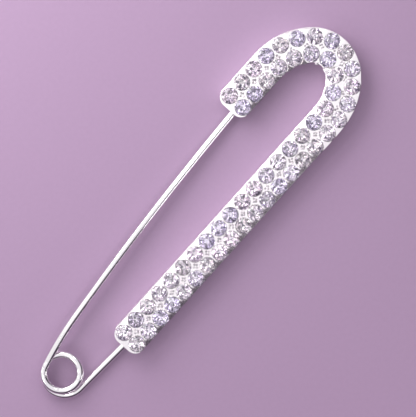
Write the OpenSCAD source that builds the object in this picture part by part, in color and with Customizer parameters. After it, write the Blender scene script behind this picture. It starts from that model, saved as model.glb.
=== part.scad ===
// Jewelled safety pin brooch: a J-shaped cast setting with two rows of round cut
// stones, a bore in its long leg for the spring wire, and a catch under its short
// arm for the point. The wire is coiled once and a half between its tail and its
// needle. The part lies on its back, stones up. Lengths are in millimetres.

/* [Setting] */
// Straight length of the long leg
leg_length = 50.4; // [40:0.1:60]
// Straight length of the short arm
arm_length = 9.6; // [9:0.1:14]
// Distance between the middle lines of the leg and the arm
leg_spacing = 13.2; // [12.6:0.1:14]
// How far the middle line of the bend reaches past the straight leg
bend_reach = 8.75; // [8.4:0.05:9.6]
// Height of the cast setting without its stones
setting_height = 2.9; // [2.8:0.05:3.2]
// Thickness of the plate that the stones are set in
plate_thickness = 1.05; // [1:0.05:1.15]
// Thickness of the side walls at the back
wall_thickness = 0.75; // [0.5:0.05:1]
// How far the face is set in from the back on each side
side_lean = 0.12; // [0.05:0.01:0.2]
// Height of the ledge where the wider back ends
ledge_height = 1.7; // [1:0.1:2]
// Metal left outside the stones at the back of the setting
rim_width = 0.05; // [0.05:0.01:0.3]
// Metal left outside the first and last stone of each row
end_rim = 0.45; // [0.3:0.01:0.6]
// Radius of the rounded corners at both ends
corner_radius = 1.7; // [0.8:0.1:2]
// Solid length at the end of the leg that grips the wire
end_block = 3.4; // [2.5:0.1:5]

/* [Stones] */
// Diameter of each round stone
stone_d = 2.78; // [2.6:0.01:2.8]
// Clear space between neighbouring stones
stone_gap = 0.08; // [0.08:0.01:0.2]
// Width of the flat table as a share of the stone
table_share = 0.54; // [0.45:0.01:0.65]
// Height of the faceted crown above the girdle
crown_height = 0.44; // [0.3:0.01:0.6]
// Height of the girdle band
girdle_height = 0.1; // [0.06:0.01:0.2]
// Depth of the pavilion below the girdle
pavilion_depth = 0.9; // [0.7:0.01:1]
// Height of the girdle above the face of the setting
girdle_lift = 0.22; // [0.15:0.01:0.3]
// Space round and under each stone in its seat
seat_clearance = 0.05; // [0.03:0.01:0.08]

/* [Wire] */
// Diameter of the spring wire
wire_d = 1.24; // [1:0.01:1.3]
// Radius of the coil at the middle of the wire
coil_radius = 3; // [2.8:0.05:3.4]
// Distance from the end of the leg back to the middle of the coil
coil_back = 10.15; // [9:0.05:12]
// Distance from the middle of the leg across to the middle of the coil
coil_offset = 4.58; // [4.4:0.01:4.7]
// Space between the stacked turns of the coil
turn_gap = 0.1; // [0.08:0.01:0.2]
// How far the lowest turn opens out towards the tail
tail_spread = 1.25; // [1:0.05:1.3]
// Height of the lowest wire above the surface that the brooch lies on
wire_lift = 0.2; // [0.15:0.01:0.3]
// How far the tail lies outside the middle line of the leg
tail_offset = 0.17; // [0.1:0.01:0.3]
// Length of the tail inside the leg
tail_grip = 2.6; // [1.5:0.1:3]
// Space round the tail in its bore
bore_clearance = 0.04; // [0.03:0.01:0.06]

/* [Needle] */
// Angle at which the needle leaves the coil
needle_angle = 15; // [14.5:0.1:15.5]
// Angle that the needle bends back through beside the coil
kick_angle = 9; // [8.5:0.1:9.5]
// Length of that bend beside the coil
kick_length = 10; // [9:0.1:11]
// Angle that the rest of the needle bows back through
needle_bow = 4.5; // [4:0.1:5]
// Length of the needle inside the short arm
needle_reach = 5.6; // [4:0.1:6.5]
// Length of the sharpened point
point_length = 5; // [3:0.1:6]
// Space between the needle and the catch round it
catch_clearance = 0.12; // [0.1:0.01:0.2]
// Thickness of the rib and lip of the catch
catch_thickness = 0.6; // [0.4:0.05:0.8]
// Thickness of the lip under the needle
lip_thickness = 0.26; // [0.2:0.01:0.3]

/* [Hidden] */
$fn = 48;

// Small overshoot of every cut
cut = 1;
// Facets round a crown, sides of the swept wire, and steps along it
facets = 8;
wire_sides = 12;
turn_step = 10;
kick_steps = 3;
needle_steps = 12;
// Smallest radius at the very point of the needle
point_r = 0.06;
// Angle that keeps the needle's turn clear of the fixed turn
turn_split = 1.6;
// Step of the bend's outline, a whole share of each arc's angle
bend_step = 5;

stone_r = stone_d / 2;
stone_pitch = stone_d + stone_gap;
row_offset = stone_pitch / 2;
half_width = row_offset + stone_r + rim_width;
plate_bottom = setting_height - plate_thickness;
wire_r = wire_d / 2;

// The bend is three arcs: two wide ones of 45 degrees and a tight one of 90 between
arc_angle = 45;
arc_sine = sin(arc_angle);
half_spacing = leg_spacing / 2;
arc_scale = 2 * arc_sine - 1;
wide_radius = (bend_reach * arc_sine - half_spacing * (1 - arc_sine)) / arc_scale;
tight_radius = (half_spacing * arc_sine - bend_reach * (1 - arc_sine)) / arc_scale;
wide_centre = [leg_length, wide_radius];
tight_centre = wide_centre + (wide_radius - tight_radius) * [arc_sine, -arc_sine];
top_centre = [leg_length, leg_spacing - wide_radius];
arm_end_x = leg_length - arm_length;

// Heights of the wire: the tail lies lowest and the needle leaves the top turn
coil_centre = [-coil_back, coil_offset];
turn_pitch = wire_d + turn_gap;
tail_z = wire_lift + wire_r;
tail_radius = coil_radius + tail_spread;
tail_slope = asin((coil_offset + tail_offset - tail_radius) / coil_back);
start_turn = 90 + needle_angle;
end_turn = start_turn + 360;
tail_turn = 630 - tail_slope;
coil_top_z = tail_z + turn_pitch * (tail_turn - start_turn) / 360;
catch_z = plate_bottom - wire_r - catch_clearance;
needle_span = arm_end_x + coil_back;
needle_length = needle_span + needle_reach;
bow_angle = needle_angle - kick_angle;
kick_radius = kick_length / kick_angle * 180 / PI;
bow_radius = (needle_length - kick_length) / needle_bow * 180 / PI;

function polar(radius, angle) = radius * [cos(angle), sin(angle)];

// A point of the coil: below the needle's own turn it opens out towards the tail
function coil_point(turn) =
    let (
        opening = max(0, (turn - end_turn) / (tail_turn - end_turn)),
        plan = coil_centre + polar(coil_radius + tail_spread * pow(sin(90 * opening), 2), turn)
    )
    [plan[0], plan[1], coil_top_z - turn_pitch * (turn - start_turn) / 360];
fixed_turns = [end_turn + turn_split : turn_step : tail_turn - turn_step / 2];

// The middle of the box round the whole brooch is the origin
box_left = min([for (turn = fixed_turns) coil_point(turn)[0]]) - wire_r;
box_right = leg_length + bend_reach + half_width;
origin_shift = [-(box_left + box_right) / 2, -leg_spacing / 2, 0];

// Length of a row that runs beside the middle line, to the left where offset is positive
function wide_run(offset) = (wide_radius - offset) * arc_angle * PI / 180;
function tight_run(offset) = (tight_radius - offset) * 2 * arc_angle * PI / 180;
function row_length(offset) = leg_length + 2 * wide_run(offset) + tight_run(offset) + arm_length;

// Point and heading at a run along such a row: leg, wide arc, tight arc, wide arc, arm
function on_arc(centre, radius, offset, start, run) =
    let (heading = start + run / (radius - offset) * 180 / PI)
    [centre + polar(radius - offset, heading - 90), heading];
function row_place(run, offset) =
    let (
        first = leg_length,
        second = first + wide_run(offset),
        third = second + tight_run(offset),
        fourth = third + wide_run(offset)
    )
    run < first ? [[run, offset], 0] :
    run < second ? on_arc(wide_centre, wide_radius, offset, 0, run - first) :
    run < third ? on_arc(tight_centre, tight_radius, offset, arc_angle, run - second) :
    run < fourth ? on_arc(top_centre, wide_radius, offset, 3 * arc_angle, run - third) :
    [[leg_length - (run - fourth), leg_spacing - offset], 180];

// Point of the bend where a line beside the middle line has turned through heading
function bend_point(heading, offset) =
    heading < arc_angle ? wide_centre + polar(wide_radius - offset, heading - 90) :
    heading <= 3 * arc_angle ? tight_centre + polar(tight_radius - offset, heading - 90) :
    top_centre + polar(wide_radius - offset, heading - 90);

function side_line(offset, leg_start, arm_start) = concat(
    [[leg_start, offset]],
    [for (heading = [0 : bend_step : 180]) bend_point(heading, offset)],
    [[arm_start, leg_spacing - offset]]
);

// A J in plan, as wide as twice half, that starts and ends at the places given
module plan(half, leg_start, arm_start) {
    inside = side_line(half, leg_start, arm_start);
    outside = side_line(-half, leg_start, arm_start);
    polygon(concat(outside, [for (k = [len(inside) - 1 : -1 : 0]) inside[k]]));
}

// The face is a little narrower than the back, which leaves a ledge round it
module solid_body() {
    linear_extrude(height = ledge_height)
        plan(half_width, 0, arm_end_x);
    linear_extrude(height = setting_height)
        plan(half_width - side_lean, 0, arm_end_x);
}

module hollow_back() {
    translate([0, 0, -cut])
        linear_extrude(height = plate_bottom + cut)
            plan(half_width - wall_thickness, end_block, arm_end_x + wall_thickness);
}

// Plan of one end with round corners: everything outside it is cut away
module end_corners() {
    difference() {
        translate([-cut, -half_width - cut, -cut])
            cube([corner_radius + cut, 2 * (half_width + cut), setting_height + 2 * cut]);
        translate([corner_radius, corner_radius - half_width, -2 * cut])
            cylinder(r = corner_radius, h = setting_height + 4 * cut);
        translate([corner_radius, half_width - corner_radius, -2 * cut])
            cylinder(r = corner_radius, h = setting_height + 4 * cut);
        translate([0, corner_radius - half_width, -2 * cut])
            cube([corner_radius + 2 * cut, 2 * (half_width - corner_radius), setting_height + 4 * cut]);
    }
}

// Number of stones that fit along a row, and the run of each one
function row_margin() = stone_r + end_rim;
function row_gaps(offset) = floor((row_length(offset) - 2 * row_margin()) / stone_pitch);
function row_run(offset, index) =
    row_margin() + index * (row_length(offset) - 2 * row_margin()) / row_gaps(offset);

// Radius of the pavilion where it meets the face of the setting
culet_r = stone_r / 3;
function pavilion_r(depth) = stone_r - (stone_r - culet_r) * depth / pavilion_depth;
seat_r = pavilion_r(girdle_lift) + seat_clearance;
seat_depth = pavilion_depth - girdle_lift + seat_clearance;

module at_stones(offset) {
    for (index = [0 : row_gaps(offset)]) {
        place = row_place(row_run(offset, index), offset);
        translate([place[0][0], place[0][1], setting_height])
            rotate([0, 0, place[1]])
                children();
    }
}

module seats(offset) {
    at_stones(offset)
        translate([0, 0, -seat_depth])
            cylinder(r = seat_r, h = seat_depth + cut, $fn = 24);
}

// Where the needle runs in plan: a short bend beside the coil, then a slow bow
needle_start = coil_centre + polar(coil_radius, start_turn);
kick_centre = needle_start + polar(kick_radius, needle_angle - 90);
kick_end = kick_centre + polar(kick_radius, bow_angle + 90);
bow_centre = kick_end + polar(bow_radius, bow_angle - 90);
function needle_plan(run) =
    run < kick_length ?
        kick_centre + polar(kick_radius, needle_angle + 90 - run / kick_radius * 180 / PI) :
        bow_centre + polar(bow_radius, bow_angle + 90 - (run - kick_length) / bow_radius * 180 / PI);

// It falls evenly from the top of the coil to the catch
function needle_point(run) = concat(needle_plan(run), coil_top_z + (catch_z - coil_top_z) * run / needle_span);

tip_y = needle_point(needle_length)[1];
rib_y = tip_y + wire_r + catch_clearance;
mouth_y = needle_point(needle_span)[1];

// The arm is open towards the leg, so that the needle can be pressed out of the catch
module catch_mouth() {
    mouth_length = needle_reach + 2 * wire_d;
    translate([arm_end_x - cut, leg_spacing - half_width - cut, -cut])
        cube([mouth_length + cut, rib_y - (leg_spacing - half_width) + cut, plate_bottom + cut]);
}

// Rib on the far side of the needle, with a lip that turns in below it
module catch_hook() {
    hook_length = needle_reach - wire_r;
    translate([arm_end_x + rim_width, rib_y, 0])
        cube([hook_length, catch_thickness, plate_bottom + cut / 2]);
    translate([arm_end_x + rim_width, mouth_y - wire_r, 0])
        cube([hook_length, rib_y - mouth_y + wire_r + catch_thickness / 2, lip_thickness]);
}

module tail_bore() {
    translate([-cut, -tail_offset, tail_z])
        rotate([0, 90, 0])
            cylinder(r = wire_r + bore_clearance, h = tail_grip + bore_clearance + cut);
}

module setting() {
    color("gainsboro")
    translate(origin_shift)
    difference() {
        union() {
            difference() {
                solid_body();
                hollow_back();
                catch_mouth();
            }
            catch_hook();
        }
        end_corners();
        translate([arm_end_x, leg_spacing, 0]) end_corners();
        tail_bore();
        seats(-row_offset);
        seats(row_offset);
    }
}

// A round brilliant: table, eight kites, eight stars, sixteen halves, girdle, pavilion
module stone() {
    table_r = stone_r * table_share;
    girdle_low = girdle_lift;
    girdle_top = girdle_lift + girdle_height;
    table_z = girdle_top + crown_height;
    step = 360 / facets;
    kite_r = (table_r + stone_r) / 2;
    kite_fall = (kite_r * cos(step / 2) - table_r) * crown_height / (stone_r - table_r);
    rim = 2 * facets;
    function ring(radius, height, count, turn) =
        [for (k = [0 : count - 1]) concat(polar(radius, turn + k * 360 / count), height)];
    points = concat(
        ring(table_r, table_z, facets, 0),
        ring(kite_r, table_z - kite_fall, facets, step / 2),
        ring(stone_r, girdle_top, rim, 0),
        ring(stone_r, girdle_low, rim, 0),
        ring(culet_r, girdle_low - pavilion_depth, rim, 0)
    );
    star = facets;
    upper = 2 * facets;
    lower = upper + rim;
    culet = lower + rim;
    faces = concat(
        [[for (k = [facets - 1 : -1 : 0]) k]],
        [for (k = [0 : facets - 1]) [k, (k + 1) % facets, star + k]],
        [for (k = [0 : facets - 1]) [k, star + k, upper + 2 * k]],
        [for (k = [0 : facets - 1]) [k, upper + 2 * k, star + (k + facets - 1) % facets]],
        [for (k = [0 : facets - 1]) [star + k, upper + 2 * k + 1, upper + 2 * k]],
        [for (k = [0 : facets - 1]) [star + k, upper + (2 * k + 2) % rim, upper + 2 * k + 1]],
        [for (k = [0 : rim - 1]) [upper + k, upper + (k + 1) % rim, lower + (k + 1) % rim, lower + k]],
        [for (k = [0 : rim - 1]) [lower + k, lower + (k + 1) % rim, culet + (k + 1) % rim, culet + k]],
        [[for (k = [0 : rim - 1]) culet + k]]
    );
    polyhedron(points, faces, convexity = 4);
}

module outer_stones() {
    color("aliceblue")
    translate(origin_shift)
    at_stones(-row_offset) stone();
}

module inner_stones() {
    color("lavender")
    translate(origin_shift)
    at_stones(row_offset) stone();
}

// A round wire through points, each with its own radius
module swept_wire(points, radii) {
    count = len(points);
    function heading(k) =
        let (span = points[min(k + 1, count - 1)] - points[max(k - 1, 0)])
        span / norm(span);
    function ring(k) =
        let (
            ahead = heading(k),
            flat = [-ahead[1], ahead[0], 0] / norm([ahead[0], ahead[1]]),
            up = cross(ahead, flat)
        )
        [for (side = [0 : wire_sides - 1])
            let (turn = side * 360 / wire_sides)
            points[k] + radii[k] * (cos(turn) * flat + sin(turn) * up)];
    rings = [for (k = [0 : count - 1]) each ring(k)];
    faces = concat(
        [[for (side = [0 : wire_sides - 1]) side]],
        [for (k = [0 : count - 2], side = [0 : wire_sides - 1])
            let (near = k * wire_sides, far = near + wire_sides, next = (side + 1) % wire_sides)
            [near + side, far + side, far + next, near + next]],
        [[for (side = [wire_sides - 1 : -1 : 0]) (count - 1) * wire_sides + side]]
    );
    polyhedron(rings, faces, convexity = 6);
}

module coil_and_tail() {
    turns = [for (turn = fixed_turns) coil_point(turn)];
    tail = [for (x = [0, tail_grip]) [x, -tail_offset, tail_z]];
    points = concat(turns, [coil_point(tail_turn)], tail);
    color("silver")
    translate(origin_shift)
        swept_wire(points, [for (point = points) wire_r]);
}

module needle() {
    body_length = needle_length - point_length;
    turns = [for (turn = [end_turn : -turn_step : start_turn + turn_step / 2]) coil_point(turn)];
    kick_runs = [for (k = [0 : kick_steps - 1]) kick_length * k / kick_steps];
    bow_length = body_length - kick_length;
    runs = concat(kick_runs, [for (k = [0 : needle_steps]) kick_length + bow_length * k / needle_steps]);
    point_runs = [body_length + point_length / 2, needle_length];
    points = concat(turns, [for (run = runs) needle_point(run)], [for (run = point_runs) needle_point(run)]);
    radii = concat(
        [for (turn = turns) wire_r],
        [for (run = runs) wire_r],
        [wire_r * 3 / 4, point_r]
    );
    color("silver")
    translate(origin_shift)
        swept_wire(points, radii);
}

setting();
outer_stones();
inner_stones();
coil_and_tail();
needle();
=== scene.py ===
"""Looks of the jewelled safety pin brooch: polished plate, foil-backed stones and spring wire.

Lengths are metres. The brooch lies on its back with its long leg along +X and its stones up.
"""

import math
import random

import bmesh
import bpy
from mathutils import Matrix, Vector


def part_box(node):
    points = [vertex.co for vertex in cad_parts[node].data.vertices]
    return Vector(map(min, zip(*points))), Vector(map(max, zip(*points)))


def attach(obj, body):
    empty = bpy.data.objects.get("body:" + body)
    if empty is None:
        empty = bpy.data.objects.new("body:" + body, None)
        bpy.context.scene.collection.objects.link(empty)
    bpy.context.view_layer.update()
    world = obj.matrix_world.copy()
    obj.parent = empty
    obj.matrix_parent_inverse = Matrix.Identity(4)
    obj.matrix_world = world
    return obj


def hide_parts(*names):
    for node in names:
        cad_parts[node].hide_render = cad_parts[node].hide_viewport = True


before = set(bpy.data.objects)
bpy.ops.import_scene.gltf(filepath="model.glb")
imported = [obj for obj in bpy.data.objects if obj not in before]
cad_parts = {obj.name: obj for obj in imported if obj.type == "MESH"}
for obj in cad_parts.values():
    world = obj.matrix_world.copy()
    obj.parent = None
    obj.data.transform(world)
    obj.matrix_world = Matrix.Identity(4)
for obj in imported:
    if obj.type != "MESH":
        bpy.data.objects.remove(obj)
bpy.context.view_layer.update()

MM = 0.001

# Setting
LEG_LENGTH = 50.4 * MM
ARM_LENGTH = 9.6 * MM
LEG_SPACING = 13.2 * MM
BEND_REACH = 8.75 * MM
SETTING_HEIGHT = 2.9 * MM
PLATE_THICKNESS = 1.05 * MM
RIM_WIDTH = 0.05 * MM
END_RIM = 0.45 * MM
LEDGE_HEIGHT = 1.7 * MM
LEDGE_FALL = 0.035 * MM
POLISHED_EDGE = 0.04 * MM

# Stones: sizes, depths and shares of the radius, and the most that a stone leans in degrees
STONE_R = 1.39 * MM
STONE_GAP = 0.08 * MM
TABLE_SHARE = 0.54
CROWN_HEIGHT = 0.44 * MM
GIRDLE_HEIGHT = 0.1 * MM
GIRDLE_LIFT = 0.22 * MM
# Beyond this share of the radius the back of each stone is dark lacquer: painted shade round its
# edge
LACQUER_SHADE_SHARE = 0.91
LACQUER_SHADE_DEPTH = 0.11 * MM
PAVILION_DEPTH = 0.9 * MM
KNEE_SHARE = 0.60
KNEE_DEPTH = PAVILION_DEPTH * 0.585
CULET_R = 0.3 * STONE_R
STONE_LEAN = 2.2
GLASS_SLOT, FOIL_SLOT, LACQUER_SHADE_SLOT = range(3)

# One tint of the glass is drawn for each stone
TINTS = (
    (1.0, 1.0, 1.0),
    (0.985, 0.985, 1.0),
    (1.0, 0.985, 0.995),
    (0.965, 0.965, 1.0),
    (0.995, 0.995, 0.985),
)

# One painted shade is drawn for each foil facet, which darkens its colour in place of the light it
# loses
FOIL_PAINTED_SHADES = (1.0, 1.0, 0.95, 0.9, 0.85, 0.7)

# Seat cups
CUP_R = STONE_R - 0.06 * MM
CUP_WALL = 0.1 * MM
CUP_HEIGHT = 0.2 * MM
CUP_LIP = 0.04 * MM

# Beads between the rows, and how far each strays round its gap in radians
GRAIN_WIDEST = 0.25 * MM
GRAIN_SMALLEST = 0.1 * MM
GRAIN_OVERLAP = 0.03 * MM
GRAIN_SPREAD = 0.3 * MM
GRAIN_STRAY = 0.3

# Points along a corner prong: how far out from the row, half width and height, all in mm
PRONG = ((0.22, 0.03, 0.42), (0.42, 0.09, 0.44), (0.93, 0.38, 0.22), (1.41, 0.92, 0.0))
PRONG_START_HEIGHT = PRONG[0][2] * MM
PRONG_LEAST = 0.03 * MM
PRONG_CAMBER = 0.05 * MM
PRONG_DEPTH = 0.5 * MM

# Past this place along the leg the prongs of the outer row fall only by this share
LEVEL_RIM_START = 45.0 * MM
LEVEL_RIM_FALL = 0.15

# Spring wire, with its angles in degrees
WIRE_R = 0.62 * MM
COIL_R = 3.0 * MM
COIL_BACK = 10.15 * MM
COIL_OFFSET = 4.58 * MM
COIL_SPLIT = 1.6
TURN_PITCH = 1.34 * MM
TONGUE_ANGLE = 12
TONGUE_SHARE = 0.97
TAIL_SPREAD = 1.25 * MM
TAIL_OFFSET = 0.17 * MM
TAIL_Z = 0.82 * MM
TAIL_GRIP = 2.6 * MM
NEEDLE_ANGLE = 15.0
KICK_ANGLE = 9.0
KICK_LENGTH = 10.0 * MM
NEEDLE_BOW = 4.5
NEEDLE_REACH = 5.6 * MM
POINT_LENGTH = 5.0 * MM
POINT_SHARES = (0.92, 0.85, 0.74, 0.5, 0.25)
CATCH_GAP = 0.12 * MM

# The bend is three arcs: two wide ones of 45 degrees and a tight one of 90 between them
ARC = math.radians(45)
HALF_SPACING = LEG_SPACING / 2
ARC_SCALE = 2 * math.sin(ARC) - 1
WIDE_R = (BEND_REACH * math.sin(ARC) - HALF_SPACING * (1 - math.sin(ARC))) / ARC_SCALE
TIGHT_R = (HALF_SPACING * math.sin(ARC) - BEND_REACH * (1 - math.sin(ARC))) / ARC_SCALE
ROW_OFFSET = STONE_R + STONE_GAP / 2
HALF_WIDTH = ROW_OFFSET + STONE_R + RIM_WIDTH
SETTING_RIGHT = LEG_LENGTH + BEND_REACH + HALF_WIDTH

# Places are worked out from the free end of the leg, and SHIFT takes them to the frame
SHIFT = Vector((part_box("setting")[1][0] - SETTING_RIGHT, -HALF_SPACING, 0))

# The wire leaves the coil at START_TURN as the needle and at TAIL_TURN as the tail, in degrees
COIL_CENTRE = Vector((-COIL_BACK, COIL_OFFSET, 0))
START_TURN = 90 + NEEDLE_ANGLE
TAIL_SLOPE = math.degrees(math.asin((COIL_OFFSET + TAIL_OFFSET - COIL_R - TAIL_SPREAD) / COIL_BACK))
TAIL_TURN = 630 - TAIL_SLOPE
COIL_TOP_Z = TAIL_Z + TURN_PITCH * (TAIL_TURN - START_TURN) / 360
NEEDLE_SPAN = LEG_LENGTH - ARM_LENGTH + COIL_BACK
NEEDLE_LENGTH = NEEDLE_SPAN + NEEDLE_REACH
CATCH_Z = SETTING_HEIGHT - PLATE_THICKNESS - WIRE_R - CATCH_GAP

# Studio
FLOOR_HALF = 0.6
FLOOR_Z = -0.02 * MM
TOWARDS_LIGHT = (0.05, 0.58, 0.81)

# Softboxes: name, place, width and height, and power
SOFTBOXES = (
    ("key", (0.02, 0.12, 0.08), (0.12, 0.08), 0.17),
    ("spark", (0.02, 0.05, 0.42), (0.05, 0.05), 0.12),
    ("low_card", (0.012, -0.12, 0.042), (0.036, 0.02), 0.011),
)

# Small panels round the needle's side, for glints in the facets, with angles in degrees
PANELS = 9
PANEL_SIZE = (0.05, 0.03)
PANEL_POWER = 0.05
PANEL_REACH = 0.34
PANEL_HEIGHTS = (0.2, 0.4)
PANEL_SPACING = 22
PANEL_STRAY = 8

# Photograph
PHOTO_WIDTH = 416
PHOTO_PIXEL = 0.165 * MM
LEG_ANGLE_IN_PHOTO = math.radians(48)
CAMERA_AIM = SHIFT + Vector((26.36, 4.71, 1.5)) * MM
CAMERA_AZIMUTH = math.radians(60)
CAMERA_ELEVATION = math.radians(82)
CAMERA_LENS = 180.0
SENSOR_WIDTH = 36.0


class Link:
    """An output socket that can be written in sums and products."""

    def __init__(self, shade, socket):
        self.shade = shade
        self.socket = socket

    def _math(self, operation, first, second):
        return self.shade.node("ShaderNodeMath", {0: first, 1: second}, {"operation": operation})

    def __add__(self, other):
        return self._math("ADD", self, other)

    def __radd__(self, other):
        return self._math("ADD", other, self)

    def __mul__(self, other):
        return self._math("MULTIPLY", self, other)

    def __rmul__(self, other):
        return self._math("MULTIPLY", other, self)


class Shade:
    """The node tree of one material or world: node() adds a node, with its sockets set or linked."""

    def __init__(self, owner):
        self.owner = owner
        owner.use_nodes = True
        self.tree = owner.node_tree
        self.tree.nodes.clear()

    def node(self, kind, sockets=None, settings=None, stops=(), out=0):
        made = self.tree.nodes.new(kind)
        for key, value in (settings or {}).items():
            setattr(made, key, value)
        for _ in stops[2:]:
            made.color_ramp.elements.new(1.0)
        for k, (position, colour) in enumerate(stops):
            made.color_ramp.elements[k].position = position
            made.color_ramp.elements[k].color = colour
        for name, value in (sockets or {}).items():
            if isinstance(value, Link):
                self.tree.links.new(value.socket, made.inputs[name])
            else:
                made.inputs[name].default_value = value
        return None if out is None else Link(self, made.outputs[out])

    def ramp(self, factor, stops):
        return self.node("ShaderNodeValToRGB", {"Fac": factor}, stops=stops)

    def mix(self, factor, first, second, blend="MIX"):
        settings = {"data_type": "RGBA", "blend_type": blend}
        return self.node("ShaderNodeMix", {0: factor, 6: first, 7: second}, settings, out=2)

    def place(self):
        return self.node("ShaderNodeTexCoord", out="Object")

    def tint_and_shade(self):
        return self.node("ShaderNodeAttribute", settings={"attribute_name": "tint_and_shade"})

    def noise(self, scale, detail=3.0, rough=0.5, where=None):
        where = where or self.place()
        sockets = {"Vector": where, "Scale": scale, "Detail": detail, "Roughness": rough}
        return self.node("ShaderNodeTexNoise", sockets)

    def bump(self, strength, distance, height):
        sockets = {"Strength": strength, "Distance": distance, "Height": height}
        return self.node("ShaderNodeBump", sockets)

    def finish(self, surface, output="ShaderNodeOutputMaterial"):
        self.node(output, {"Surface": surface}, out=None)
        return self.owner


def rgb(red, green, blue):
    return (red, green, blue, 1.0)


def polished_plate(name, bright, dull):
    """Rhodium plate over a cast body: soft casting waves and fine polishing marks."""
    shade = Shade(bpy.data.materials.new(name))
    waves = shade.noise(900.0, detail=2.0)
    marks = shade.noise(9000.0, detail=4.0, rough=0.6)
    return shade.finish(shade.node("ShaderNodeBsdfPrincipled", {
        "Base Color": shade.mix(waves, bright, dull),
        "Metallic": 1.0,
        "Roughness": marks * 0.12 + 0.2,
        "Normal": shade.bump(0.18, 0.04 * MM, waves * 0.8 + marks * 0.2),
    }))


def drawn_wire():
    """Plated spring wire: polished, with faint lines from the draw plate."""
    shade = Shade(bpy.data.materials.new("drawn_wire"))
    sockets = {"Vector": shade.place(), "Scale": (300.0, 9000.0, 9000.0)}
    along = shade.node("ShaderNodeMapping", sockets)
    lines = shade.noise(1.0, rough=0.6, where=along)
    cloud = shade.noise(700.0)
    return shade.finish(shade.node("ShaderNodeBsdfPrincipled", {
        "Base Color": shade.mix(cloud, rgb(0.95, 0.93, 0.93), rgb(0.87, 0.85, 0.86)),
        "Metallic": 1.0,
        "Roughness": lines * 0.08 + 0.03,
        "Normal": shade.bump(0.1, 0.02 * MM, lines),
    }))


def cut_crystal():
    """Clear lead glass, each stone a little different in tint."""
    shade = Shade(bpy.data.materials.new("cut_crystal"))
    return shade.finish(shade.node("ShaderNodeBsdfPrincipled", {
        "Base Color": shade.tint_and_shade(),
        "Roughness": 0.0,
        "IOR": 1.56,
        "Transmission Weight": 1.0,
    }))


def stone_foil():
    """Silver foil on the pavilion, with painted glints and painted shade in small cells."""
    shade = Shade(bpy.data.materials.new("stone_foil"))
    sockets = {"Vector": shade.place(), "Scale": 5400.0}
    cells = shade.node("ShaderNodeTexVoronoi", sockets, out="Color")
    # Painted glints and painted shade: the foil's colour runs from near black to white, cell by cell
    painted_glint = shade.ramp(cells, (
        (0.0, rgb(0.13, 0.105, 0.165)),
        (0.28, rgb(0.19, 0.16, 0.235)),
        (0.34, rgb(0.60, 0.54, 0.66)),
        (0.40, rgb(0.93, 0.885, 0.95)),
        (0.60, rgb(1.0, 0.955, 0.98)),
    ))
    return shade.finish(shade.node("ShaderNodeBsdfPrincipled", {
        "Base Color": shade.mix(1.0, shade.tint_and_shade(), painted_glint, "MULTIPLY"),
        "Metallic": 1.0,
        "Roughness": shade.noise(1800.0, detail=2.0) * 0.08 + 0.03,
    }))


def lacquer_painted_shade():
    """Dark lacquer that seals the foil round the edge of each stone, darkened as painted shade."""
    shade = Shade(bpy.data.materials.new("lacquer_painted_shade"))
    spread = shade.noise(2500.0)
    return shade.finish(shade.node("ShaderNodeBsdfPrincipled", {
        "Base Color": shade.mix(spread, rgb(0.24, 0.20, 0.25), rgb(0.42, 0.37, 0.41)),
        "Roughness": spread * 0.3 + 0.2,
    }))


PLATE = polished_plate("polished_plate", rgb(0.95, 0.915, 0.93), rgb(0.87, 0.83, 0.85))
# The beads get a darker copy of the polished plate: painted shade between the stones
GRAIN_PAINTED_SHADE = polished_plate("grains_painted_shade", rgb(0.72, 0.68, 0.71), rgb(0.48, 0.43, 0.47))
WIRE = drawn_wire()
CRYSTAL = cut_crystal()
FOIL = stone_foil()
LACQUER_PAINTED_SHADE = lacquer_painted_shade()


def polar(radius, angle):
    return Vector((radius * math.cos(angle), radius * math.sin(angle), 0))


def row_place(run, offset):
    """Place and heading at a run along a row beside the middle line of the J."""
    wide, tight = WIDE_R - offset, TIGHT_R - offset
    corner = Vector((LEG_LENGTH, WIDE_R, 0))
    inner = corner + (WIDE_R - TIGHT_R) * Vector((math.sin(ARC), -math.sin(ARC), 0))
    top = Vector((LEG_LENGTH, LEG_SPACING - WIDE_R, 0))
    left = run - LEG_LENGTH
    if left < 0:
        return Vector((run, offset, 0)), 0.0
    for centre, radius, start, sweep in (
        (corner, wide, 0, ARC),
        (inner, tight, ARC, 2 * ARC),
        (top, wide, 3 * ARC, ARC),
    ):
        if left < radius * sweep:
            heading = start + left / radius
            return centre + polar(radius, heading - math.pi / 2), heading
        left -= radius * sweep
    return Vector((LEG_LENGTH - left, LEG_SPACING - offset, 0)), math.pi


def row_runs(offset):
    """Runs of the stones along a row."""
    bend = 2 * (WIDE_R - offset) * ARC + (TIGHT_R - offset) * 2 * ARC
    margin = STONE_R + END_RIM
    length = LEG_LENGTH + ARM_LENGTH + bend - 2 * margin
    gaps = int(length / (2 * STONE_R + STONE_GAP))
    return [margin + k * length / gaps for k in range(gaps + 1)]


def on_top(place):
    """The matrix that sets something down on the top of the setting."""
    return Matrix.Translation(place + SHIFT + Vector((0, 0, SETTING_HEIGHT)))


def mesh_from(bm, name):
    """A mesh made of a finished bmesh, which is freed."""
    mesh = bpy.data.meshes.new(name)
    bm.to_mesh(mesh)
    bm.free()
    return mesh


def piece_from(bm, name, materials, body, smooth=None):
    """Makes an object of a finished bmesh, shaded smooth below the angle given in degrees."""
    mesh = mesh_from(bm, name)
    for material in materials:
        mesh.materials.append(material)
    if smooth is not None:
        mesh.shade_smooth()
        mesh.set_sharp_from_angle(angle=math.radians(smooth))
    piece = bpy.data.objects.new(name, mesh)
    bpy.context.scene.collection.objects.link(piece)
    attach(piece, body)
    return piece


def add_copy(target, master, matrix):
    """Adds a copy of the master mesh to a bmesh, at the matrix given, and returns its faces."""
    verts_before = len(target.verts)
    faces_before = len(target.faces)
    target.from_mesh(master)
    target.verts.ensure_lookup_table()
    target.faces.ensure_lookup_table()
    bmesh.ops.transform(target, matrix=matrix, verts=target.verts[verts_before:])
    return target.faces[faces_before:]


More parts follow.
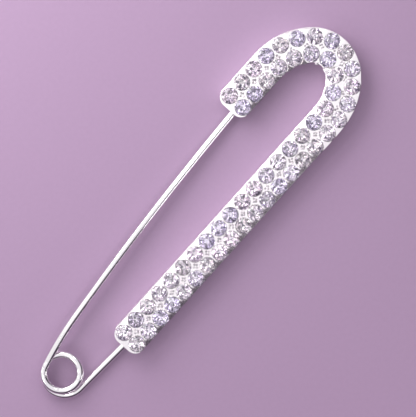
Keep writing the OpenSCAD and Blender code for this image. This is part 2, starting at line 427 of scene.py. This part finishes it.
def stone_master():
    """A round brilliant, as the hull of its rings from the table down to the culet."""
    table_r = STONE_R * TABLE_SHARE
    kite_r = (table_r + STONE_R) / 2
    half_facet = math.radians(22.5)
    slope = CROWN_HEIGHT / (STONE_R - table_r)
    girdle_top = GIRDLE_LIFT + GIRDLE_HEIGHT
    table_z = girdle_top + CROWN_HEIGHT
    kite_z = table_z - (kite_r * math.cos(half_facet) - table_r) * slope
    bm = bmesh.new()
    for radius, height, count, turn in (
        (table_r, table_z, 8, 0.0),
        (kite_r, kite_z, 8, half_facet),
        (STONE_R, girdle_top, 16, 0.0),
        (STONE_R, GIRDLE_LIFT, 16, 0.0),
        (STONE_R * LACQUER_SHADE_SHARE, GIRDLE_LIFT - LACQUER_SHADE_DEPTH, 16, 0.0),
        (STONE_R * KNEE_SHARE, GIRDLE_LIFT - KNEE_DEPTH, 8, half_facet),
        (CULET_R, GIRDLE_LIFT - PAVILION_DEPTH, 8, 0.0),
    ):
        place = Matrix.Translation((0, 0, height)) @ Matrix.Rotation(turn, 4, "Z")
        bmesh.ops.create_circle(bm, segments=count, radius=radius, matrix=place)
    bmesh.ops.convex_hull(bm, input=bm.verts)
    bmesh.ops.dissolve_limit(bm, angle_limit=math.radians(0.5), verts=bm.verts, edges=bm.edges)
    for face in bm.faces:
        facing_down = face.normal.z < -0.1
        if facing_down:
            # The outer band of the back is dark lacquer, a painted shade round the stone's edge
            in_lacquer_shade = face.calc_center_median().xy.length > STONE_R * LACQUER_SHADE_SHARE
            face.material_index = LACQUER_SHADE_SLOT if in_lacquer_shade else FOIL_SLOT
        else:
            face.material_index = GLASS_SLOT
    return mesh_from(bm, "stone_master")


def stone_row(side, offset, master, seed):
    """All the stones of one row, each turned and leant a little its own way."""
    draw = random.Random(seed)
    bm = bmesh.new()
    tint_and_shade = bm.loops.layers.float_color.new("tint_and_shade")
    for run in row_runs(offset):
        place, heading = row_place(run, offset)
        lean_x, lean_y = (
            Matrix.Rotation(math.radians(draw.uniform(-STONE_LEAN, STONE_LEAN)), 4, axis)
            for axis in "XY"
        )
        turn = Matrix.Rotation(heading + draw.uniform(0, math.pi / 4), 4, "Z")
        colour = draw.choice(TINTS)
        for face in add_copy(bm, master, on_top(place) @ (lean_x @ lean_y) @ turn):
            # Foil facets get a painted shade, multiplied into the stone's tint
            painted_shade = draw.choice(FOIL_PAINTED_SHADES) if face.material_index == FOIL_SLOT else 1.0
            for loop in face.loops:
                loop[tint_and_shade] = (*(painted_shade * channel for channel in colour), 1.0)
    piece = piece_from(bm, f"{side}_crystals", (CRYSTAL, FOIL, LACQUER_PAINTED_SHADE), "brooch")
    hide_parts(f"{side}_stones")


def lowest_neighbour(vert):
    """Height of the lowest corner of the faces round a vertex."""
    return min(corner.co.z for face in vert.link_faces for corner in face.verts)


def setting_casting():
    """The cast setting, its ledge sloped outwards and its edges softened by polishing."""
    bm = bmesh.new()
    bm.from_mesh(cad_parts["setting"].data)
    bmesh.ops.remove_doubles(bm, verts=bm.verts, dist=0.002 * MM)
    bmesh.ops.dissolve_limit(bm, angle_limit=math.radians(0.6), verts=bm.verts, edges=bm.edges)
    ledge = [vert for vert in bm.verts if abs(vert.co.z - LEDGE_HEIGHT) < 0.01 * MM]
    # The vertices on the outer edge of the ledge have walls that run down to the back
    outer = [vert for vert in ledge if lowest_neighbour(vert) < LEDGE_HEIGHT / 2]
    bmesh.ops.translate(bm, vec=(0, 0, -LEDGE_FALL), verts=outer)
    piece = piece_from(bm, "setting_casting", (PLATE,), "brooch", smooth=30)
    bevel = piece.modifiers.new("polished_edges", "BEVEL")
    bevel.width = POLISHED_EDGE
    bevel.segments = 2
    bevel.limit_method = "ANGLE"
    bevel.angle_limit = math.radians(35)
    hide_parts("setting")


def cup_master():
    """A ring of plate with four sides, whose top slopes down to the stone."""
    bm = bmesh.new()
    ring = bmesh.ops.create_circle(bm, segments=20, radius=CUP_R - CUP_WALL)["verts"]
    edges = list(dict.fromkeys(edge for vert in ring for edge in vert.link_edges))
    foot = list(edges)
    for radius, lift in (
        (CUP_R, 0.0),
        (CUP_R, CUP_HEIGHT),
        (CUP_R - CUP_WALL, CUP_HEIGHT - CUP_LIP),
    ):
        made = bmesh.ops.extrude_edge_only(bm, edges=edges)["geom"]
        edges = [item for item in made if isinstance(item, bmesh.types.BMEdge)]
        for vert in (item for item in made if isinstance(item, bmesh.types.BMVert)):
            vert.co = vert.co.xy.normalized().to_3d() * radius + Vector((0, 0, lift))
    bmesh.ops.bridge_loops(bm, edges=foot + edges)
    bmesh.ops.recalc_face_normals(bm, faces=bm.faces)
    return mesh_from(bm, "cup_master")


def seat_cups():
    """A short cup of plate round the pavilion of each stone."""
    master = cup_master()
    bm = bmesh.new()
    for offset in (-ROW_OFFSET, ROW_OFFSET):
        for run in row_runs(offset):
            place, _ = row_place(run, offset)
            add_copy(bm, master, on_top(place))
    piece_from(bm, "seat_cups", (PLATE,), "brooch", smooth=40)


def grains():
    """Bright-cut beads raised in each gap between the two rows, as wide as the gap allows."""
    draw = random.Random(31)
    stops = [
        row_place(run, offset)[0]
        for offset in (-ROW_OFFSET, ROW_OFFSET)
        for run in row_runs(offset)
    ]
    runs = row_runs(-ROW_OFFSET)
    bm = bmesh.new()
    for before, after in zip(runs, runs[1:]):
        place, heading = row_place((before + after) / 2, -ROW_OFFSET)
        middle = place + polar(ROW_OFFSET, heading + math.pi / 2)
        for quarter in range(4):
            around = heading + quarter * math.pi / 2 + draw.uniform(-GRAIN_STRAY, GRAIN_STRAY)
            place = middle + polar(GRAIN_SPREAD * draw.uniform(0.8, 1.2), around)
            room = min((stop - place).length for stop in stops) - STONE_R + GRAIN_OVERLAP
            radius = min(room, GRAIN_WIDEST) * draw.uniform(0.75, 1.0)
            if radius < GRAIN_SMALLEST:
                continue
            made = bmesh.ops.create_icosphere(bm, subdivisions=1, radius=radius)["verts"]
            angle = draw.uniform(0, math.pi)
            lean = Matrix.Rotation(angle, 4, Vector((draw.random(), draw.random(), 1)))
            bmesh.ops.transform(bm, matrix=on_top(place) @ lean, verts=made)
    # The beads wear the darker copy of the plate, a painted shade between the stones
    piece_from(bm, "grains", (GRAIN_PAINTED_SHADE,), "brooch")


def corner_prongs():
    """Sloped prongs in the corners between neighbouring stones, on the outer sides of both rows."""
    bm = bmesh.new()
    for offset in (-ROW_OFFSET, ROW_OFFSET):
        way = math.copysign(1, offset)
        stops = [row_place(run, offset) for run in row_runs(offset)]
        for (near, first), (far, last) in zip(stops, stops[1:]):
            spare = (far - near).length - 2 * STONE_R - STONE_GAP
            level = way < 0 and (near + far).x / 2 > LEVEL_RIM_START
            fall = LEVEL_RIM_FALL if level else 1.0
            steps = len(PRONG) - 1
            made = bmesh.ops.create_grid(bm, x_segments=2, y_segments=steps, size=1)["verts"]
            levels = sorted({round(vert.co.y, 4) for vert in made})
            for vert in made:
                side = vert.co.x
                point = PRONG[levels.index(round(vert.co.y, 4))]
                out, half, height = (value * MM for value in point)
                half = max(half + (spare - way * (last - first) * out) / 2, PRONG_LEAST)
                height = PRONG_START_HEIGHT + fall * (height - PRONG_START_HEIGHT)
                vert.co = Vector((side * half, way * out, height - abs(side) * PRONG_CAMBER))
            turn = Matrix.Rotation((first + last) / 2, 4, "Z")
            bmesh.ops.transform(bm, matrix=on_top((near + far) / 2) @ turn, verts=made)
            faces = list(dict.fromkeys(face for vert in made for face in vert.link_faces))
            skirt = bmesh.ops.extrude_face_region(bm, geom=faces)["geom"]
            lower = [item for item in skirt if isinstance(item, bmesh.types.BMVert)]
            bmesh.ops.translate(bm, vec=(0, 0, -PRONG_DEPTH), verts=lower)
    bmesh.ops.recalc_face_normals(bm, faces=bm.faces)
    piece_from(bm, "corner_prongs", (PLATE,), "brooch", smooth=40)


class DrawnWire:
    """A round wire that is drawn stretch by stretch from its first ring."""

    def __init__(self, place, heading, radius=WIRE_R):
        self.bm = bmesh.new()
        turn = Matrix.Rotation(heading, 4, "Z") @ Matrix.Rotation(math.pi / 2, 4, "Y")
        where = Matrix.Translation(place) @ turn
        made = bmesh.ops.create_circle(
            self.bm, cap_ends=True, segments=24, radius=radius, matrix=where)
        self.ring = made["verts"]

    def middle(self):
        return sum((vert.co for vert in self.ring), Vector()) / len(self.ring)

    def _ring_edges(self):
        ring = set(self.ring)
        return [e for e in self.bm.edges if e.verts[0] in ring and e.verts[1] in ring]

    def _extend(self):
        made = bmesh.ops.extrude_edge_only(self.bm, edges=self._ring_edges())["geom"]
        self.ring = [item for item in made if isinstance(item, bmesh.types.BMVert)]

    def turn(self, centre, angle, rise, steps, spread=0.0):
        """Round a centre by an angle, climbing by rise and opening out by spread."""
        step = Matrix.Rotation(angle / steps, 4, "Z")
        about = Matrix.Translation(centre) @ step @ Matrix.Translation(-centre)
        quarter = math.pi / 2 / steps
        for k in range(steps):
            self._extend()
            bmesh.ops.transform(self.bm, matrix=about, verts=self.ring)
            outward = (self.middle() - centre).xy.normalized().to_3d()
            grow = spread * (math.sin((k + 1) * quarter) ** 2 - math.sin(k * quarter) ** 2)
            travel = outward * grow + Vector((0, 0, rise / steps))
            bmesh.ops.translate(self.bm, vec=travel, verts=self.ring)

    def run(self, travel, share=1.0):
        """Straight along travel, with the ring drawn down to a share of its size."""
        self._extend()
        bmesh.ops.translate(self.bm, vec=travel, verts=self.ring)
        space = Matrix.Translation(-self.middle())
        bmesh.ops.scale(self.bm, vec=(share,) * 3, verts=self.ring, space=space)

    def close(self, name, body):
        """Caps the last ring and makes the piece."""
        bmesh.ops.contextual_create(self.bm, geom=self._ring_edges())
        bmesh.ops.recalc_face_normals(self.bm, faces=self.bm.faces)
        bmesh.ops.translate(self.bm, vec=SHIFT, verts=self.bm.verts)
        return piece_from(self.bm, name, (WIRE,), body, smooth=50)


def coil_point(turn):
    """Middle of the wire where it has come round the coil to a turn in degrees."""
    height = COIL_TOP_Z - TURN_PITCH * (turn - START_TURN) / 360
    return COIL_CENTRE + polar(COIL_R, math.radians(turn)) + Vector((0, 0, height))


def spring_needle():
    """The needle with its own turn of the coil, and a tongue that runs on inside the fixed turn."""
    last = START_TURN + 360 + TONGUE_ANGLE
    wire = DrawnWire(coil_point(last), math.radians(last - 90), WIRE_R * TONGUE_SHARE)
    tongue_rise = TURN_PITCH * TONGUE_ANGLE / 360
    wire.turn(COIL_CENTRE, -math.radians(TONGUE_ANGLE), tongue_rise, steps=2)
    wire.run(Vector(), 1 / TONGUE_SHARE)
    wire.turn(COIL_CENTRE, -math.radians(360), TURN_PITCH, steps=72)
    fall = (CATCH_Z - COIL_TOP_Z) / NEEDLE_SPAN
    bow_length = NEEDLE_LENGTH - KICK_LENGTH
    shank = bow_length - POINT_LENGTH
    bow = math.radians(NEEDLE_BOW) * shank / bow_length
    heading = math.radians(NEEDLE_ANGLE)
    for length, angle, steps in ((KICK_LENGTH, math.radians(KICK_ANGLE), 12), (shank, bow, 44)):
        centre = wire.middle() + polar(length / angle, heading - math.pi / 2)
        wire.turn(centre, -angle, fall * length, steps)
        heading -= angle
    ahead = polar(1, heading) + Vector((0, 0, fall))
    for share in POINT_SHARES:
        wire.run(ahead * POINT_LENGTH / len(POINT_SHARES), share)
    piece = wire.close("spring_needle", "needle_body")
    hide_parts("needle")


def spring_coil():
    """The fixed turn of the coil, which opens out and runs on as the tail into the leg."""
    first = START_TURN + 360 + COIL_SPLIT
    sweep = TAIL_TURN - first
    fall = -TURN_PITCH * sweep / 360
    wire = DrawnWire(coil_point(first), math.radians(first + 90))
    wire.turn(COIL_CENTRE, math.radians(sweep), fall, steps=40, spread=TAIL_SPREAD)
    entry = Vector((0, -TAIL_OFFSET, TAIL_Z))
    wire.run(entry - wire.middle())
    wire.run(Vector((TAIL_GRIP, 0, 0)))
    piece = wire.close("spring_coil", "brooch")
    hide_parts("coil_and_tail")


def pale_floor():
    """The pale sheet that the brooch lies on."""
    shade = Shade(bpy.data.materials.new("pale_sheet"))
    fibre = shade.noise(1400.0, detail=4.0)
    sheet = shade.finish(shade.node("ShaderNodeBsdfPrincipled", {
        "Base Color": shade.mix(fibre, rgb(0.30, 0.197, 0.308), rgb(0.326, 0.215, 0.333)),
        "Roughness": 0.6,
        "Normal": shade.bump(0.08, 0.05 * MM, fibre),
    }))
    bm = bmesh.new()
    bmesh.ops.create_grid(bm, x_segments=2, y_segments=2, size=FLOOR_HALF)
    mesh = mesh_from(bm, "floor")
    mesh.materials.append(sheet)
    floor = bpy.data.objects.new("floor", mesh)
    floor.location.z = FLOOR_Z
    bpy.context.scene.collection.objects.link(floor)


def add_softbox(name, place, size, power):
    """A rectangular light that faces the brooch."""
    light = bpy.data.lights.new(name, "AREA")
    light.shape = "RECTANGLE"
    light.size, light.size_y = size
    light.energy = power
    lamp = bpy.data.objects.new(name, light)
    lamp.location = place
    lamp.rotation_euler = (-Vector(place)).to_track_quat("-Z", "Y").to_euler()
    bpy.context.scene.collection.objects.link(lamp)


def studio():
    """A world that is bright above and on the needle's side, and the softboxes."""
    shade = Shade(bpy.data.worlds.new("studio"))
    sockets = {0: shade.node("ShaderNodeTexCoord", out="Generated"), 1: TOWARDS_LIGHT}
    side = shade.node("ShaderNodeVectorMath", sockets, {"operation": "DOT_PRODUCT"}, out="Value")
    colour = shade.ramp(side * 0.5 + 0.5, (
        (0.0, rgb(0.05, 0.035, 0.055)),
        (0.56, rgb(0.065, 0.045, 0.07)),
        (0.62, rgb(0.17, 0.135, 0.175)),
        (0.70, rgb(0.86, 0.83, 0.90)),
        (1.0, rgb(1.0, 0.99, 1.0)),
    ))
    light = shade.node("ShaderNodeBackground", {"Color": colour, "Strength": 1.0})
    bpy.context.scene.world = shade.finish(light, "ShaderNodeOutputWorld")
    for name, place, size, power in SOFTBOXES:
        add_softbox(name, place, size, power)
    draw = random.Random(5)
    for k in range(PANELS):
        angle = PANEL_SPACING * k + draw.uniform(-PANEL_STRAY, PANEL_STRAY)
        around = polar(PANEL_REACH, math.radians(angle)) * draw.uniform(0.5, 1.0)
        place = around + Vector((0, 0, draw.uniform(*PANEL_HEIGHTS)))
        add_softbox(f"panel_{k}", place, PANEL_SIZE, PANEL_POWER)
    bpy.context.scene.view_settings.view_transform = "Standard"


def photo_camera():
    """The camera of the photograph: nearly overhead, with the leg rising to the right."""
    away = Vector((
        math.cos(CAMERA_ELEVATION) * math.cos(CAMERA_AZIMUTH),
        math.cos(CAMERA_ELEVATION) * math.sin(CAMERA_AZIMUTH),
        math.sin(CAMERA_ELEVATION),
    ))
    ahead = -away
    right = ahead.cross(Vector((0, 0, 1))).normalized()
    up = right.cross(ahead)
    leg = math.atan2(up.x, right.x)
    roll = LEG_ANGLE_IN_PHOTO - leg
    turned_right = right * math.cos(roll) - up * math.sin(roll)
    turned_up = right * math.sin(roll) + up * math.cos(roll)
    data = bpy.data.cameras.new("photo_camera")
    data.lens = CAMERA_LENS
    data.sensor_width = SENSOR_WIDTH
    data.sensor_fit = "HORIZONTAL"
    data.clip_start = 0.01
    camera = bpy.data.objects.new("photo_camera", data)
    distance = CAMERA_LENS / SENSOR_WIDTH * PHOTO_WIDTH * PHOTO_PIXEL
    matrix = Matrix((turned_right, turned_up, away)).transposed().to_4x4()
    matrix.translation = CAMERA_AIM + away * distance
    camera.matrix_world = matrix
    bpy.context.scene.collection.objects.link(camera)
    bpy.context.scene.camera = camera


photo_camera()
studio()
pale_floor()
brilliant = stone_master()
setting_casting()
seat_cups()
grains()
corner_prongs()
stone_row("outer", -ROW_OFFSET, brilliant, seed=3)
stone_row("inner", ROW_OFFSET, brilliant, seed=8)
spring_needle()
spring_coil()
